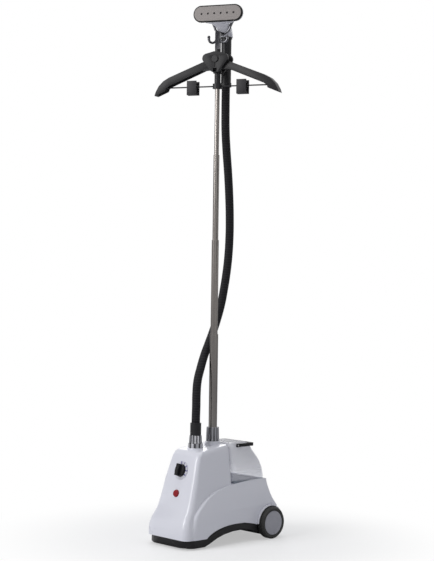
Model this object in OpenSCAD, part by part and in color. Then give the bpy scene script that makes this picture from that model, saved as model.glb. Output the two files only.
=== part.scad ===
// Upright garment steamer on wheels, with a telescoping pole, a hanger and a lift-off steam head.
// Front faces -Y, floor is z = 0. Show one piece by setting node to its name.

/* [Base] */
// Width of the base skirt
base_width = 180; // [170:1:220]
// Front of the base, ahead of the middle
base_front = 190; // [180:1:230]
// Height of the front tower's roof
roof_height = 268; // [260:1:300]
// Height of the deck the water tank stands on
deck_height = 176; // [168:1:184]
// Thickness of the moulded walls
wall = 3; // [2:0.5:4]

/* [Wheels] */
// Diameter of a wheel over the tyre
wheel_diameter = 94; // [80:1:100]
// Width of a wheel
wheel_width = 24; // [18:1:28]
// Distance of the wheel axle behind the middle
axle_y = 142; // [130:1:145]
// Diameter of the wheel axle
axle_diameter = 8; // [6:0.5:10]

/* [Controls] */
// Diameter of the heat dial
dial_diameter = 38; // [30:1:42]
// Diameter of the indicator lens
lens_diameter = 22; // [14:1:24]

/* [Tank] */
// Height of the water tank
tank_height = 112; // [104:1:120]
// Width of the water tank at its foot
tank_width = 142; // [120:1:144]
// Length of the water tank
tank_length = 128; // [110:1:130]

/* [Pole] */
// Outside diameter of the lowest pole tube
tube_diameter_1 = 25; // [22:0.5:28]
// How much narrower the second pole tube is than the lowest one
tube_step_2 = 4; // [3:0.25:5]
// How much narrower the third pole tube is than the second one
tube_step_3 = 3.5; // [3:0.25:4.5]
// How much narrower the top pole tube is than the third one
tube_step_4 = 3.5; // [3:0.25:4.5]
// Wall of the pole tubes
tube_wall = 1; // [0.8:0.1:1.2]
// Height of the top of the lowest pole tube
joint_height_1 = 604; // [560:1:640]
// Height of the top of the second pole tube
joint_height_2 = 880; // [850:1:900]
// Height of the top of the third pole tube
joint_height_3 = 1129; // [1110:1:1140]

/* [Hanger] */
// Span of the hanger over both arms
hanger_span = 390; // [340:1:440]
// Depth of the hanger arms, front to back
arm_depth = 30; // [24:1:36]
// Diameter of the clip rods
rod_diameter = 4; // [3:0.5:5]
// Turn of the hanger from the base's front
hanger_turn = 25; // [0:1:45]

/* [Steam head] */
// Length of the soleplate
sole_length = 146; // [120:1:170]
// Height of the soleplate
sole_height = 42; // [36:1:50]
// Diameter of a steam hole
steam_hole_diameter = 6; // [4:0.5:8]
// Diameter of the handle
handle_diameter = 30; // [29:0.5:34]

/* [Hose] */
// Outside diameter of the steam hose
hose_diameter = 25; // [20:0.5:26]

/* [Hidden] */
$fn = 48;
gap = 0.3;
pole_y = -10;
outlet_y = -78;
half_base = base_width / 2;
wheel_radius = wheel_diameter / 2;
arch_radius = wheel_radius + 4;
wheel_inner = half_base - 6;
skirt_top = 28;
tank_front = 12;
tank_base = deck_height + gap;
tube_diameter_2 = tube_diameter_1 - tube_step_2;
tube_diameter_3 = tube_diameter_2 - tube_step_3;
tube_diameter_4 = tube_diameter_3 - tube_step_4;
socket_diameter = tube_diameter_1 + 6;
socket_top = roof_height + 23;
lock_top = socket_top + 41;
tube_foot_1 = 190;
overlap = 40;
outlet_bore = 30;
union_base = roof_height + 8;
nut_base = union_base + 13;
nut_top = nut_base + 23;
hub_z = 1404;
rod_z = hub_z - 74;
sleeve_diameter = tube_diameter_4 + 4;
sleeve_foot = hub_z - 82;
sleeve_top = hub_z + 22;
seat_top = sleeve_top + 12;
rod_collar_diameter = sleeve_diameter + 10;
rod_start = rod_collar_diameter / 2 - 0.1;
rod_end = hanger_span / 2 - 29;
clip_x = 78;
hook_z = hub_z + 66;
hook_radius = 12;
handle_y = 68;
head_z = 1543;
handle_top = head_z - 65;
handle_foot = handle_top - 142;
cradle_radius = 25;
cradle_y = 34;
cradle_z = head_z - 29.3;
wire = 7;
neck_lean = 230;
dial_z = 214;
lens_z = 150;
boiler_y = -70;
boiler_z = 62;
boiler_height = 70;
valve_y = 50;
feed_y = -45;
gland_y = 184;
gland_z = 74;
hose_sides = 12;
front_line = [
  [0, 27], [2, 60], [14, 90], [28, 112], [36, 136], [51, 190], [66, 240], [71, 252]
];
belly_line = [
  [184, 22], [112, 14], [88, 26], [62, 34], [30, 38], [-10, 37], [-44, 32], [-72, 24],
  [-100, 12], [-120, 5]
];
face_slope = (front_line[6][0] - front_line[5][0]) / (front_line[6][1] - front_line[5][1]);
lens_slope = (front_line[5][0] - front_line[4][0]) / (front_line[5][1] - front_line[4][1]);
dial_y = -base_front + front_line[5][0] + face_slope * (dial_z - front_line[5][1]);
lens_y = -base_front + front_line[4][0] + lens_slope * (lens_z - front_line[4][1]);

// Middle line of the hose, from its outlet on the base to deep inside the handle.
hose_line = [
  [0, -78, nut_base - gap], [0, -78, nut_base + 31], [0, -78, 360], [0, -77, 395], [-3, -74, 430],
  [-10, -64, 468], [-19, -44, 505], [-28, -22, 540], [-34, 1, 575], [-38, 22, 610],
  [-40, 41, 650], [-41, 56, 690], [-42, 68, 735], [-42, 77, 780], [-42, 84, 830],
  [-42, 88, 890], [-41, 87, 950], [-39, 82, 1010], [-36, 73, 1080], [-33, 62, 1150],
  [-30, 54, 1210], [-28.7, 51.6, 1270], [-28.7, 51.6, 1340], [-28.7, 51.6, 1400]
];

function raised(points, dz) = [for (p = points) [p[0], p[1] + dz]];

module tube(outer, inner, z0, z1) {
  translate([0, 0, z0])
    difference() {
      cylinder(d = outer, h = z1 - z0);
      translate([0, 0, -1])
        cylinder(d = inner, h = z1 - z0 + 2);
    }
}

module at_pole() {
  translate([0, pole_y, 0])
    children();
}

module at_outlet() {
  translate([0, outlet_y, 0])
    children();
}

module at_hanger() {
  translate([0, pole_y, 0])
    rotate([0, 0, hanger_turn])
      children();
}

module at_dial() {
  translate([0, dial_y, dial_z])
    rotate([90 - atan(face_slope), 0, 0])
      children();
}

module at_lens() {
  translate([0, lens_y, lens_z])
    rotate([90 - atan(lens_slope), 0, 0])
      children();
}

// Side outline (y, z) made solid across the width.
module across(points, width) {
  translate([-width / 2, 0, 0])
    rotate([90, 0, 90])
      linear_extrude(width)
        polygon(points);
}

// Front outline (x, z) made solid from front to back.
module lengthwise(points) {
  translate([0, 300, 0])
    rotate([90, 0, 0])
      linear_extrude(600)
        polygon(points);
}

// One half outline (x, z) mirrored into a whole one.
function both_sides(points) = concat(
  [for (p = points) [-p[0], p[1]]],
  [for (i = [len(points) - 1:-1:0]) points[i]]
);

// Bowed, round-cornered plan of the body.
module plan(inset) {
  linear_extrude(400)
    offset(r = 16 - inset)
      polygon([
        [-half_base + 16, -base_front + 34], [-half_base + 36, -base_front + 23],
        [-half_base / 3, -base_front + 17], [half_base / 3, -base_front + 17],
        [half_base - 36, -base_front + 23], [half_base - 16, -base_front + 34],
        [half_base - 16, 170], [-half_base + 16, 170]
      ]);
}

module tower(inset) {
  intersection() {
    across(concat(
      [for (p = front_line) [p[0] - base_front + inset, p[1]]],
      [
        [79 - base_front + inset, roof_height - 5 - inset],
        [90 - base_front + inset, roof_height - inset],
        [-30, roof_height + 10 - inset], [2 - inset, roof_height + 14 - inset],
        [10 - inset, deck_height], [10 - inset, skirt_top - 1]
      ]
    ), base_width);
    lengthwise(both_sides([
      [half_base - 3 - inset, 0], [half_base - 5 - inset, 60], [half_base - 15 - inset, 104],
      [half_base - 20 - inset, 178], [half_base - 29 - inset, 240], [half_base - 36 - inset, 300]
    ]));
    plan(inset);
  }
}

// Wide rear body under the sweeping fin.
module haunch(inset) {
  intersection() {
    across([
      [-168 + inset, skirt_top - 1], [-164 + inset, 64], [-152 + inset, 92 - inset],
      [-132, 116 - inset], [-106, 137 - inset], [-74, 153 - inset], [-36, 164 - inset],
      [10, 171 - inset], [60, deck_height - 1 - inset], [142 - inset, deck_height - inset],
      [148 - inset, 158], [157 - inset, 134], [170 - inset, 112], [184 - inset, 96],
      [184 - inset, skirt_top - 1]
    ], base_width);
    lengthwise(both_sides([
      [half_base - inset, 0], [half_base - 1 - inset, 60], [half_base - 6 - inset, 110],
      [half_base - 14 - inset, deck_height + 4]
    ]));
  }
}

module wheel_wells(radius, depth) {
  for (side = [-1, 1])
    translate([side * (half_base + 10 - depth / 2), axle_y, wheel_radius])
      rotate([0, 90, 0])
        cylinder(r = radius, h = depth, center = true);
}

module well_depth_cut() {
  wheel_wells(arch_radius, half_base + 10 - wheel_inner + gap);
}

module base_skirt() {
  color([0.11, 0.10, 0.11])
    difference() {
      intersection() {
        across(concat(
          [
            [-base_front + 6, 5], [-base_front, skirt_top - 1], [-112, skirt_top - 1],
            [-74, 44], [-26, 56], [39, 57], [80, 48], [112, 36], [184, 36]
          ],
          belly_line
        ), base_width);
        plan(0);
      }
      intersection() {
        across(concat(
          [[-base_front + wall + 2, 5 + wall], [-base_front + wall, 70], [184 - wall, 70]],
          raised([[184 - wall, 22]], wall),
          raised(belly_line, wall)
        ), base_width - 2 * wall);
        plan(wall);
      }
      well_depth_cut();
    }
}

module upper_housing() {
  color([0.88, 0.88, 0.92])
    difference() {
      union() {
        difference() {
          union() {
            tower(0);
            haunch(0);
          }
          tower(wall);
          haunch(wall);
        }
        intersection() {
          haunch(0);
          wheel_wells(arch_radius + wall, half_base + 10 - wheel_inner + wall);
        }
        translate([0, pole_y, roof_height])
          cylinder(d1 = socket_diameter + 27, d2 = socket_diameter + 11, h = socket_top - roof_height);
        translate([0, outlet_y, roof_height - 4])
          cylinder(d = 48, h = union_base - roof_height + 4);
      }
      across([
        [-300, -1], [300, -1], [300, 36.2], [112, 36.2], [80, 48.2], [39, 57.2], [-26, 56.2],
        [-74, 44.2], [-112, skirt_top - 1], [-300, skirt_top - 1]
      ], 500);
      translate([-tank_width / 2 - 0.5, tank_front - 1, deck_height - 6])
        cube([tank_width + 1, 200, 200]);
      well_depth_cut();
      at_outlet()
        cylinder(d = outlet_bore, h = 400);
      at_pole()
        cylinder(d = socket_diameter, h = 400);
      at_dial()
        cylinder(d = 14, h = 30, center = true);
      at_lens()
        cylinder(d = lens_diameter - 4, h = 30, center = true);
      translate([0, axle_y, wheel_radius])
        rotate([0, 90, 0])
          cylinder(d = axle_diameter + 1, h = 300, center = true);
      translate([0, gland_y, gland_z])
        rotate([90, 0, 0])
          cylinder(d = 14, h = 20, center = true);
    }
}

// Plate the tank stands on, with a rib round it and a hole for the valve.
module deck_tray() {
  color([0.55, 0.58, 0.66])
    difference() {
      translate([-tank_width / 2, tank_front - 1, deck_height - 5.5])
        cube([tank_width, 130, 5.5]);
      translate([-tank_width / 2 + 8, tank_front + 6, deck_height - 2])
        cube([tank_width - 16, 106, 3]);
      for (i = [0:2])
        translate([tank_width / 2 - 6.5 + 2 * i, tank_front, deck_height - 0.8])
          cube([0.8, 126, 2]);
      translate([0, valve_y, deck_height - 10])
        cylinder(d = 20, h = 20);
    }
}

module front_feet() {
  color([0.08, 0.08, 0.08])
    for (side = [-1, 1])
      translate([side * (half_base - 34), -base_front + 42, 0])
        cylinder(d1 = 20, d2 = 24, h = 5);
}

module axle() {
  color([0.7, 0.7, 0.72])
    translate([0, axle_y, wheel_radius])
      rotate([0, 90, 0])
        cylinder(d = axle_diameter, h = 2 * (wheel_inner + wheel_width) - 8, center = true);
}

module axle_bearings() {
  color([0.2, 0.2, 0.2])
    for (side = [-1, 1])
      difference() {
        translate([side * 60 - 6, axle_y - 14, 15])
          cube([12, 28, wheel_radius]);
        across(concat(
          [[184, -1], [-200, -1]],
          [for (i = [len(belly_line) - 1:-1:0]) belly_line[i] + [0, wall]]
        ), 500);
        translate([0, axle_y, wheel_radius])
          rotate([0, 90, 0])
            cylinder(d = axle_diameter, h = 300, center = true);
      }
}

// Tyre and hub, drawn standing on the axle with the outer face up.
module at_wheel(side) {
  translate([side * wheel_inner, axle_y, wheel_radius])
    rotate([0, side * 90, 0])
      children();
}

module wheel_tyre(side) {
  color([0.07, 0.07, 0.07])
    at_wheel(side)
      rotate_extrude()
        polygon([
          [wheel_radius - 9, gap], [wheel_radius - 3, gap], [wheel_radius, 4],
          [wheel_radius, wheel_width - 5], [wheel_radius - 4, wheel_width],
          [wheel_radius - 11, wheel_width - 1], [wheel_radius - 11, wheel_width - 4],
          [wheel_radius - 9, wheel_width - 4]
        ]);
}

module wheel_hub(side) {
  color([0.62, 0.62, 0.66])
    at_wheel(side)
      rotate_extrude()
        polygon([
          [axle_diameter / 2 + 0.05, 1], [axle_diameter / 2 + 5, 1], [axle_diameter / 2 + 6, 8],
          [wheel_radius - 14, 12], [wheel_radius - 12, 2], [wheel_radius - 9, 2],
          [wheel_radius - 9, wheel_width - 4], [wheel_radius - 11, wheel_width - 4],
          [wheel_radius - 12, wheel_width - 1.5], [wheel_radius - 26, wheel_width + 1.5],
          [0, wheel_width + 2.5], [0, wheel_width - 2], [axle_diameter / 2 + 0.05, wheel_width - 2]
        ]);
}

module wheel_right_tyre() {
  wheel_tyre(1);
}

module wheel_right_hub() {
  wheel_hub(1);
}

module wheel_left_tyre() {
  wheel_tyre(-1);
}

module wheel_left_hub() {
  wheel_hub(-1);
}

module dial_plate() {
  color([0.85, 0.85, 0.9])
    at_dial()
      tube(dial_diameter + 15, 7, 0, 2);
}

module dial_knob() {
  color([0.06, 0.06, 0.07])
    at_dial() {
      translate([0, 0, 2 + gap])
        cylinder(d1 = dial_diameter, d2 = dial_diameter - 3, h = 8);
      translate([-5, -dial_diameter / 2 + 2, 8])
        cube([10, dial_diameter - 4, 12]);
      translate([0, 0, -12])
        cylinder(d = 6.4, h = 16);
    }
}

module indicator_lens() {
  color([0.62, 0.05, 0.1])
    at_lens() {
      cylinder(d1 = lens_diameter, d2 = lens_diameter - 3, h = 4);
      translate([0, 0, -wall - 3])
        cylinder(d = lens_diameter - 5, h = wall + 4);
    }
}

module lamp_holder() {
  color([0.9, 0.88, 0.8])
    at_lens()
      tube(lens_diameter - 2, 8, -wall - 21, -wall - 3);
}

module rotary_switch() {
  color([0.25, 0.25, 0.27])
    at_dial()
      difference() {
        translate([-16, -16, -wall - 24])
          cube([32, 32, 24]);
        translate([0, 0, -wall - 14])
          cylinder(d = 7, h = 20);
      }
}

// Sleeve in the body that holds the lowest pole tube.
module pole_socket() {
  color([0.3, 0.3, 0.32])
    at_pole() {
      tube(socket_diameter, tube_diameter_1, tube_foot_1, socket_top - 1);
      tube(socket_diameter, 12, tube_foot_1 - 4, tube_foot_1);
    }
}

module hose_union() {
  color([0.1, 0.1, 0.1])
    at_outlet() {
      tube(42, 20, union_base, nut_base - gap);
      tube(outlet_bore - 1, 20, union_base - 18, union_base);
    }
}

// Round nut with flutes cut round it.
module fluted(base_d, top_d, height, flutes, bore) {
  difference() {
    cylinder(d1 = base_d, d2 = top_d, h = height);
    translate([0, 0, -1])
      cylinder(d = bore, h = height + 2);
    for (i = [0:flutes - 1])
      rotate([0, 0, i * 360 / flutes])
        translate([base_d / 2 + 1.2, 0, 6])
          cylinder(d = 6, h = height, $fn = 24);
  }
}

module hose_nut() {
  color([0.75, 0.75, 0.77])
    at_outlet()
      translate([0, 0, nut_base])
        fluted(hose_diameter + 13, hose_diameter + 10, nut_top - nut_base, 12,
          hose_diameter + 2 * gap);
}

module pole_lock_collar() {
  color([0.75, 0.75, 0.77])
    at_pole()
      translate([0, 0, socket_top + gap])
        fluted(tube_diameter_1 + 14, tube_diameter_1 + 11, lock_top - socket_top - gap, 12,
          tube_diameter_1 + 2 * gap);
}

// Round boiler on four legs cut to the curve of the floor.
module boiler() {
  color([0.66, 0.66, 0.68])
    translate([0, boiler_y, 0]) {
      translate([0, 0, boiler_z])
        difference() {
          cylinder(d = 96, h = boiler_height);
          translate([0, 0, 4])
            cylinder(d = 86, h = boiler_height - 10);
          translate([0, 0, 30])
            cylinder(d = 12, h = 60);
        }
      difference() {
        for (x = [-34, 34], y = [-22, 22])
          translate([x, y, 10])
            cylinder(d = 8, h = boiler_z - 9);
        translate([0, -boiler_y, 0])
          across(concat(
            [[184, -1], [-200, -1]],
            [for (i = [len(belly_line) - 1:-1:0]) belly_line[i] + [0, wall]]
          ), 500);
      }
    }
}

module heater_terminals() {
  color([0.8, 0.65, 0.3])
    for (x = [-18, 18])
      translate([x, boiler_y, boiler_z - 12]) {
        cylinder(d = 9, h = 12);
        translate([-3, -0.5, -8])
          cube([6, 1, 9]);
      }
}

module thermostat() {
  color([0.3, 0.3, 0.3])
    translate([-30, boiler_y, boiler_z + boiler_height])
      cylinder(d = 18, h = 9);
}

// Water line from the tank's valve down to the boiler's lid.
module feed_pipe() {
  color([0.85, 0.85, 0.8]) {
    translate([0, valve_y, deck_height - 30])
      tube(8, 5, 0, 13);
    translate([0, valve_y, deck_height - 32])
      rotate([90, 0, 0])
        cylinder(d = 8, h = valve_y - feed_y);
    translate([0, feed_y, boiler_z + boiler_height])
      cylinder(d = 8, h = deck_height - 32 - boiler_z - boiler_height);
  }
}

module steam_pipe() {
  color([0.8, 0.45, 0.3])
    at_outlet()
      tube(14, 10, boiler_z + boiler_height, union_base - 18);
}

module valve_seat() {
  color([0.2, 0.2, 0.22])
    translate([0, valve_y, 0]) {
      tube(20, 8, deck_height - 14, deck_height - 2);
      tube(30, 8, deck_height - 8.5, deck_height - 5.5);
      tube(20, 8, deck_height - 17, deck_height - 14);
    }
}

// Gland the mains cord leaves by.
module cord_gland() {
  color([0.08, 0.08, 0.08])
    translate([0, gland_y, gland_z])
      rotate([-90, 0, 0]) {
        tube(18, 8, 0, 4);
        tube(14, 8, -8, 0);
      }
}

module tank_shape(inset) {
  top = tank_base + tank_height;
  back = tank_front + tank_length;
  intersection() {
    across([
      [tank_front + inset, tank_base + inset], [tank_front + inset, top - 6 - inset],
      [tank_front + 30, top - 1 - inset], [tank_front + 52, top - inset],
      [back - 58 - inset, top - 2 - inset], [back - 50 - inset, top - 8 - inset],
      [back - 36 - inset, top - 34], [back - 14 - inset, top - 58], [back - 4 - inset, top - 80],
      [back - inset, tank_base + 8], [back - 1 - inset, tank_base + inset]
    ], tank_width);
    lengthwise(both_sides([
      [tank_width / 2 - inset, 0], [tank_width / 2 - 1 - inset, tank_base],
      [tank_width / 2 - 4 - inset, tank_base + 30], [tank_width / 2 - 9 - inset, tank_base + 62],
      [tank_width / 2 - 17 - inset, top - 6], [tank_width / 2 - 21 - inset, top + 1]
    ]));
  }
}

module water_tank() {
  color([0.9, 0.9, 0.94, 0.5]) {
    difference() {
      tank_shape(0);
      tank_shape(2.5);
      translate([0, valve_y, deck_height - 2])
        cylinder(d = 24, h = 10);
    }
    for (side = [-1, 1])
      translate([side * (tank_width / 2 - 18), tank_front + 26, tank_base + tank_height - 9])
        rotate([0, side * 90, 0])
          cylinder(d = 4, h = 7);
  }
}

module tank_cap() {
  color([0.15, 0.2, 0.35])
    translate([0, valve_y, 0]) {
      tube(23.8, 5, tank_base, tank_base + 12);
      tube(30, 5, tank_base + 2.5, tank_base + 5);
    }
}

module tank_handle() {
  top = tank_base + tank_height;
  reach = tank_front + tank_length - 46;
  color([0.05, 0.05, 0.06])
    difference() {
      union() {
        for (side = [-1, 1])
          translate([side * (tank_width / 2 - 12.8) - 2, tank_front + 20, top - 14])
            cube([4, reach - tank_front - 16, 10]);
        translate([-tank_width / 2 + 10.8, reach, top - 14])
          cube([tank_width - 21.6, 5, 10]);
      }
      translate([0, tank_front + 26, top - 9])
        rotate([0, 90, 0])
          cylinder(d = 4.1, h = 300, center = true);
    }
}

module pole_tube_1() {
  color([0.72, 0.7, 0.68])
    at_pole()
      tube(tube_diameter_1, tube_diameter_1 - 2 * tube_wall, tube_foot_1, joint_height_1);
}

module pole_tube_2() {
  color([0.72, 0.7, 0.68])
    at_pole()
      tube(tube_diameter_2, tube_diameter_2 - 2 * tube_wall, joint_height_1 - overlap,
        joint_height_2);
}

module pole_tube_3() {
  color([0.72, 0.7, 0.68])
    at_pole()
      tube(tube_diameter_3, tube_diameter_3 - 2 * tube_wall, joint_height_2 - overlap,
        joint_height_3);
}

module pole_tube_4() {
  color([0.72, 0.7, 0.68])
    at_pole()
      tube(tube_diameter_4, tube_diameter_4 - 2 * tube_wall, joint_height_3 - overlap, sleeve_top);
}

// Ring in the mouth of a tube that guides the next one.
module guide_ring(outer_tube, inner_tube, top) {
  color([0.12, 0.12, 0.12])
    at_pole()
      tube(outer_tube - 2 * tube_wall, inner_tube + 2 * gap, top - 12, top);
}

module guide_ring_1() {
  guide_ring(tube_diameter_1, tube_diameter_2, joint_height_1);
}

module guide_ring_2() {
  guide_ring(tube_diameter_2, tube_diameter_3, joint_height_2);
}

module guide_ring_3() {
  guide_ring(tube_diameter_3, tube_diameter_4, joint_height_3);
}

// Bush on the foot of a sliding tube.
module foot_bush(outer_tube, inner_tube, foot) {
  color([0.9, 0.9, 0.88])
    at_pole()
      tube(outer_tube - 2 * tube_wall - 2 * gap, inner_tube, foot, foot + 12);
}

module foot_bush_2() {
  foot_bush(tube_diameter_1, tube_diameter_2, joint_height_1 - overlap);
}

module foot_bush_3() {
  foot_bush(tube_diameter_2, tube_diameter_3, joint_height_2 - overlap);
}

module foot_bush_4() {
  foot_bush(tube_diameter_3, tube_diameter_4, joint_height_3 - overlap);
}

// Rounded triangular outline of the hub's two plates.
module hub_outline() {
  hull() {
    translate([-26, 6])
      circle(r = 14, $fn = 32);
    translate([26, 6])
      circle(r = 14, $fn = 32);
    translate([0, -16])
      circle(r = 20, $fn = 32);
    translate([0, 2])
      circle(r = 24, $fn = 32);
  }
}

module hub_plate(y0, thickness) {
  translate([0, y0 + thickness, hub_z])
    rotate([90, 0, 0])
      linear_extrude(thickness)
        hub_outline();
}

module hub_front() {
  color([0.16, 0.15, 0.17])
    at_hanger()
      difference() {
        hub_plate(-arm_depth / 2 - 8, 8);
        translate([0, 0, hub_z + 4])
          rotate([90, 0, 0])
            cylinder(d = 20, h = 60);
        translate([-0.8, -60, hub_z - 20])
          cube([1.6, 60, 18]);
        translate([-6, -60, hub_z - 34])
          cube([12, 60, 11]);
      }
}

module hub_back() {
  color([0.16, 0.15, 0.17])
    at_hanger()
      difference() {
        union() {
          hub_plate(arm_depth / 2, 8);
          for (x = [-18, 18])
            translate([x, arm_depth / 2, hub_z - 18])
              rotate([90, 0, 0])
                cylinder(d = 6, h = arm_depth);
          translate([0, 0, hub_z - 36])
            cylinder(d = sleeve_diameter + 8, h = 50);
          translate([-5, 0, hub_z - 20])
            cube([10, arm_depth / 2 + 2, 24]);
        }
        translate([0, 0, hub_z - 60])
          cylinder(d = sleeve_diameter + 0.2, h = 100);
        translate([-12, -40, hub_z - 8])
          cube([24, 32, 24]);
      }
}

// Sleeve round the top tube, with the seat of the bracket at its top.
module hanger_sleeve() {
  color([0.1, 0.1, 0.1])
    at_hanger() {
      tube(sleeve_diameter, tube_diameter_4 + 0.2, sleeve_foot, sleeve_top);
      tube(rod_collar_diameter, sleeve_diameter, rod_z - 7, rod_z + 7);
      tube(sleeve_diameter - 1, sleeve_diameter - 6, sleeve_top, seat_top);
    }
}

module hanger_button() {
  color([0.2, 0.2, 0.22])
    at_hanger()
      translate([0, -arm_depth / 2 - 8, hub_z + 4])
        rotate([90, 0, 0]) {
          translate([0, 0, -4])
            cylinder(d = 20 - 2 * gap, h = 7);
          translate([0, 0, -11])
            cylinder(d = 10, h = 8);
        }
}

// Arm outline (x, z) from the hub down to its tip.
module arm(side) {
  reach = hanger_span / 2;
  color([0.16, 0.15, 0.17])
    at_hanger()
      difference() {
        rotate([90, 0, 0])
          linear_extrude(arm_depth, center = true)
            polygon([
              [side * 14, hub_z + 6], [side * 40, hub_z - 3], [side * (reach - 46), hub_z - 45],
              [side * (reach - 28), hub_z - 55], [side * (reach - 13), hub_z - 70],
              [side * (reach - 4), hub_z - 86], [side * reach, hub_z - 98],
              [side * (reach - 34), hub_z - 84], [side * (reach - 37), hub_z - 76],
              [side * (reach - 46), hub_z - 70], [side * 40, hub_z - 26],
              [side * 14, hub_z - 24]
            ]);
        rotate([90, 0, 0])
          linear_extrude(arm_depth - 5, center = true)
            polygon([
              [side * 44, hub_z - 7], [side * (reach - 47), hub_z - 48],
              [side * (reach - 30), hub_z - 59], [side * (reach - 16), hub_z - 73],
              [side * (reach - 7), hub_z - 88], [side * (reach - 4), hub_z - 104],
              [side * (reach - 40), hub_z - 104], [side * (reach - 52), hub_z - 84],
              [side * 44, hub_z - 40]
            ]);
        translate([side * 18, 0, hub_z - 18])
          rotate([90, 0, 0])
            cylinder(d = 7, h = 100, center = true);
      }
}

module arm_right() {
  arm(1);
}

module arm_left() {
  arm(-1);
}

// Two rods from the collar on the sleeve to the arms' ends.
module clip_rods() {
  color([0.1, 0.1, 0.1])
    at_hanger()
      for (side = [-1, 1]) {
        translate([side * rod_start, 0, rod_z])
          rotate([0, side * 90, 0])
            cylinder(d = rod_diameter, h = rod_end - rod_start);
        translate([side * rod_end, 0, rod_z])
          cube([6, arm_depth - 5, 9], center = true);
      }
}

// Fixed half of a clip: eye on the rod, thumb tab and front pad.
module clip_body(side) {
  color([0.24, 0.24, 0.26])
    at_hanger()
      translate([side * clip_x, 0, rod_z])
        difference() {
          union() {
            rotate([0, 90, 0])
              cylinder(d = 10, h = 30, center = true);
            translate([-15, -11, -24])
              cube([30, 4, 42]);
            translate([-15, -8, -3])
              cube([30, 6, 6]);
            translate([-15, -8, -24])
              cube([30, 7.6, 6]);
          }
          rotate([0, 90, 0])
            cylinder(d = rod_diameter + 0.1, h = 40, center = true);
        }
}

// Swinging half of a clip, its two ears on the rod at each side of the body's eye.
module clip_jaw(side) {
  color([0.3, 0.3, 0.32])
    at_hanger()
      translate([side * clip_x, 0, rod_z])
        difference() {
          union() {
            translate([-17.5, 6, -24])
              cube([35, 4, 40]);
            translate([-14, gap, -24])
              cube([28, 7, 6]);
            for (x = [-16.5, 16.5])
              translate([x, 0, 0])
                rotate([0, 90, 0])
                  cylinder(d = 10, h = 2, center = true);
            for (x = [-17.5, 15.5])
              translate([x, 0, -3])
                cube([2, 8, 6]);
          }
          rotate([0, 90, 0])
            cylinder(d = rod_diameter + 0.1, h = 40, center = true);
        }
}

module clip_right_body() {
  clip_body(1);
}

module clip_right_jaw() {
  clip_jaw(1);
}

module clip_left_body() {
  clip_body(-1);
}

module clip_left_jaw() {
  clip_jaw(-1);
}

// Wire bent to a half ring, open at the top, with its ends at the height of its middle.
module half_ring(radius) {
  rotate([90, 0, 0])
    rotate([0, 0, 180])
      rotate_extrude(angle = 180)
        translate([radius, 0])
          circle(d = wire, $fn = 24);
}

// Post with two lower hooks and the fork the head's neck lies in.
module hook_bracket() {
  color([0.78, 0.78, 0.8])
    at_hanger() {
      translate([0, 0, sleeve_top + 2])
        cylinder(d = sleeve_diameter - 6.4, h = 12);
      translate([-7, -6, seat_top])
        cube([14, 12, 50]);
      for (side = [-1, 1]) {
        translate([side * (hook_radius + 5), 0, hook_z])
          half_ring(hook_radius);
        translate([side * (2 * hook_radius + 5), 0, hook_z - 3])
          cylinder(d = wire + 1, h = 8, $fn = 24);
        translate([side * (2 * hook_radius + 5), 0, hook_z + 5])
          sphere(d = wire + 2.5, $fn = 24);
      }
      translate([-6, 0, cradle_z - 30])
        cube([12, cradle_y + 3, 7]);
      translate([0, cradle_y, cradle_z])
        half_ring(cradle_radius);
      for (side = [-1, 1])
        translate([side * cradle_radius, cradle_y, cradle_z - 3])
          rotate([0, side * 25, 0]) {
            cylinder(d = wire + 1, h = 15, $fn = 24);
            translate([0, 0, 15])
              sphere(d = wire + 2.5, $fn = 24);
          }
    }
}

module cylinder_between(diameter, z0, z1) {
  translate([0, 0, z0])
    cylinder(d = diameter, h = z1 - z0);
}

module handset_handle() {
  color([0.07, 0.07, 0.08])
    at_hanger()
      translate([0, handle_y, 0])
        difference() {
          union() {
            cylinder_between(handle_diameter, handle_foot + 12, handle_top);
            cylinder_between(handle_diameter + 3, handle_foot, handle_foot + 12);
          }
          cylinder_between(hose_diameter + 2, handle_foot - 1, handle_foot + 124);
        }
}

module neck_ring() {
  color([0.05, 0.05, 0.05])
    at_hanger()
      translate([0, handle_y, handle_top])
        cylinder(d = 34, h = 5);
}

// Round-ended outline of the head.
module stadium(length, height) {
  square([length - height, height], center = true);
  for (side = [-1, 1])
    translate([side * (length - height) / 2, 0])
      circle(d = height);
}

// Block with round ends, its outline shrinking from one face to the other.
module tapered_block(length, height, depth, shrink) {
  for (side = [-1, 1])
    translate([side * (length - height) / 2, 0, 0])
      cylinder(d1 = height, d2 = height - 2 * shrink, h = depth);
  rotate([90, 0, 90])
    linear_extrude(length - height, center = true)
      polygon([
        [-height / 2, 0], [height / 2, 0], [height / 2 - shrink, depth],
        [-height / 2 + shrink, depth]
      ]);
}

module neck_line() {
  translate([0, 14, head_z - 8])
    rotate([neck_lean, 0, 0])
      children();
}

// Head shell with its neck, hollow for the steam.
module head_housing() {
  color([0.86, 0.86, 0.9])
    at_hanger()
      difference() {
        union() {
          translate([0, 0, head_z])
            rotate([-90, 0, 0])
              tapered_block(sole_length + 6, sole_height + 6, 26, 8);
          neck_line()
            cylinder(d1 = 42, d2 = 36, h = 62);
          translate([0, handle_y, handle_top + 5])
            cylinder(d = 36, h = 24);
        }
        translate([0, 0, head_z])
          rotate([-90, 0, 0])
            translate([0, 0, -1])
              tapered_block(sole_length - 10, sole_height - 10, 18, 4);
        neck_line()
          cylinder(d = 18, h = 60);
        translate([0, handle_y, handle_top])
          cylinder(d = 18, h = 22);
      }
}

module head_gasket() {
  color([0.05, 0.05, 0.05])
    at_hanger()
      translate([0, 0, head_z])
        rotate([90, 0, 0])
          linear_extrude(6)
            difference() {
              stadium(sole_length + 7, sole_height + 7);
              stadium(sole_length, sole_height);
            }
}

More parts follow.
